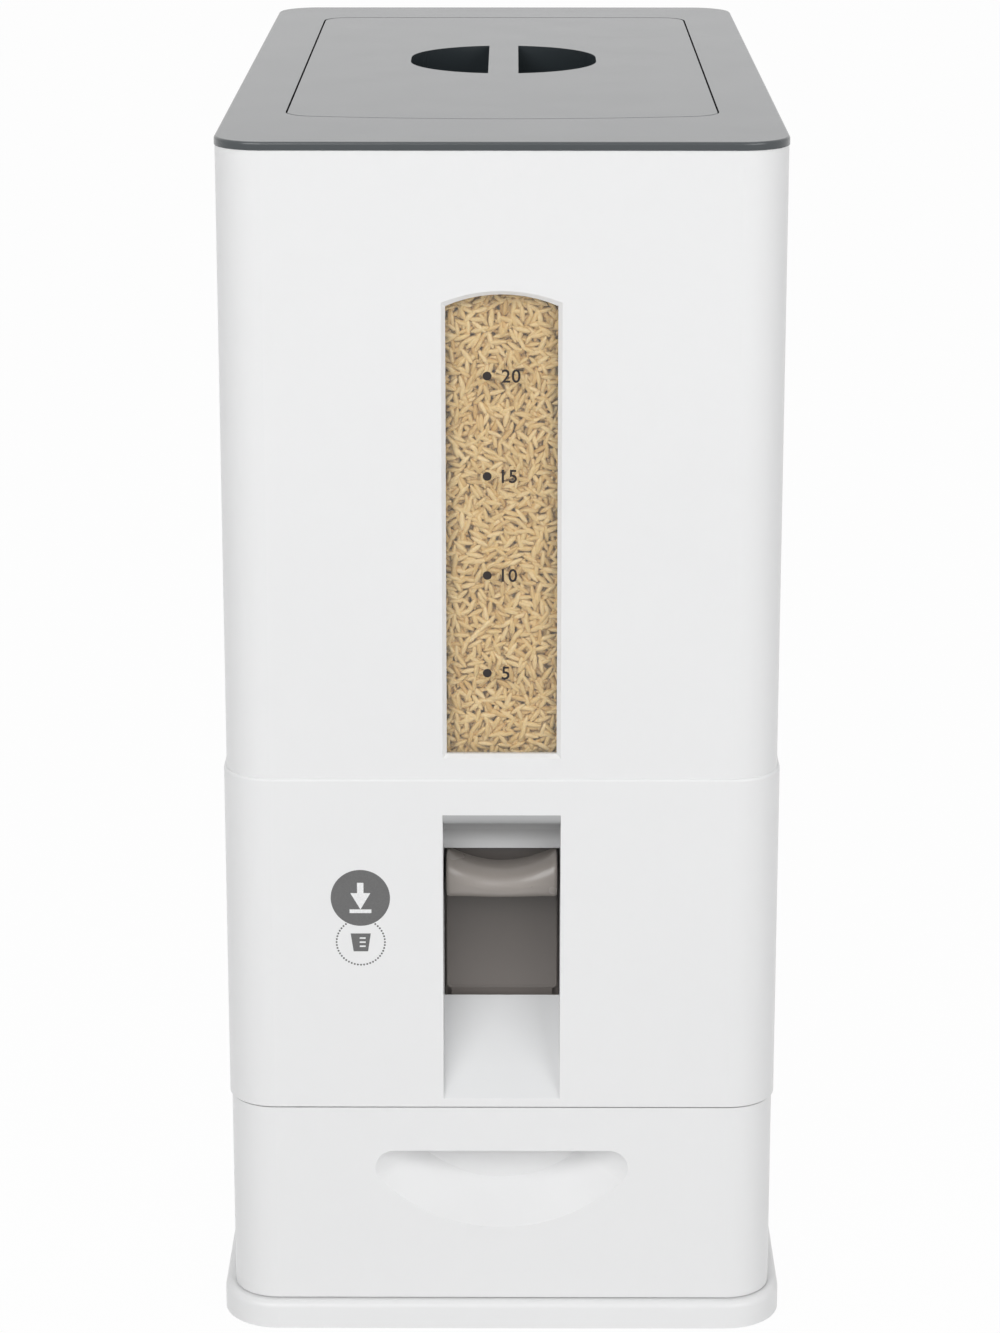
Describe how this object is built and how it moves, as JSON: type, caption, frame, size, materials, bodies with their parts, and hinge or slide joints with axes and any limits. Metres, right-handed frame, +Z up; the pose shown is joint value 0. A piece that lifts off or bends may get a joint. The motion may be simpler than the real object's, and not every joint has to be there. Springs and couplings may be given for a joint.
{
  "type": "rice dispenser",
  "caption": "Tall box-shaped rice dispenser with a lift-off hatch, level window, press lever, geared measuring shuttle and a sliding drawer.",
  "frame": {"origin": "under the middle of the box, on the surface that the feet stand on", "axes": "+Z up, the drawer and the lever face -Y, +X to the right seen from the front"},
  "size_m": [0.2112, 0.4082, 0.452],
  "materials": {
    "white_shell": "satin moulded ABS",
    "inner_white": "moulded polypropylene",
    "slate_lid": "satin dark slate ABS",
    "clear_pane": "clear styrene",
    "taupe_panel": "satin taupe ABS",
    "taupe_knob": "gloss light taupe ABS",
    "meter_grey": "moulded polypropylene",
    "acetal": "natural acetal",
    "steel": "zinc plated steel",
    "dark_rubber": "matt rubber",
    "silicone": "translucent silicone"
  },
  "bodies": {
    "casing": {"base_plinth": "white_shell", "rubber_feet": "dark_rubber", "lower_casing": "white_shell", "dispenser_housing": "white_shell", "deck_plate": "inner_white", "meter_case": "inner_white", "outlet_spout": "inner_white", "shaft_bush_left": "acetal", "shaft_bush_right": "acetal", "return_spring": "steel", "hopper_funnel": "inner_white", "hopper_shell": "white_shell", "window_gasket": "silicone", "window_pane": "clear_pane", "lid_frame": "slate_lid", "lid_seal": "silicone", "base_screws": "steel", "deck_screws": "steel", "housing_screws": "steel", "meter_screws": "steel"},
    "drawer": {"drawer_front": "white_shell", "drawer_bin": "inner_white", "drawer_front_screws": "steel"},
    "hatch": {"hatch": "slate_lid", "hatch_seal": "silicone"},
    "lever": {"lever_panel": "taupe_panel", "lever_knob": "taupe_knob"},
    "gear_shaft": {"cross_shaft": "steel", "shaft_clips": "steel", "lever_pinion_left": "acetal", "lever_pinion_right": "acetal", "shuttle_pinion_left": "acetal", "shuttle_pinion_right": "acetal"},
    "shuttle": {"measuring_shuttle": "meter_grey", "shuttle_rack_left": "meter_grey", "shuttle_rack_right": "meter_grey"}
  },
  "joints": [
    {"name": "drawer_slide", "type": "slide", "parent": "casing", "child": "drawer", "axis": [0, -1, 0], "range_m": [0, 0.29]},
    {"name": "hatch_lift", "type": "slide", "parent": "casing", "child": "hatch", "axis": [0, 0, 1], "range_m": [0, 0.12]},
    {"name": "lever_press", "type": "slide", "parent": "casing", "child": "lever", "axis": [0, 0, -1], "range_m": [0, 0.0285], "stiffness_N_per_m": 250, "springref_m": -0.03, "deforming": ["return_spring"]},
    {"name": "shaft_spin", "type": "hinge", "parent": "casing", "child": "gear_shaft", "pos_m": [0, -0.149, 0.13], "axis": [1, 0, 0], "range_deg": [0, 182]},
    {"name": "shuttle_slide", "type": "slide", "parent": "casing", "child": "shuttle", "axis": [0, 1, 0], "range_m": [0, 0.0381]}
  ],
  "couplings": [
    {"joint": "shaft_spin", "follows": "lever_press", "rad_per_m": 111.11},
    {"joint": "shuttle_slide", "follows": "lever_press", "ratio": 1.3333}
  ]
}
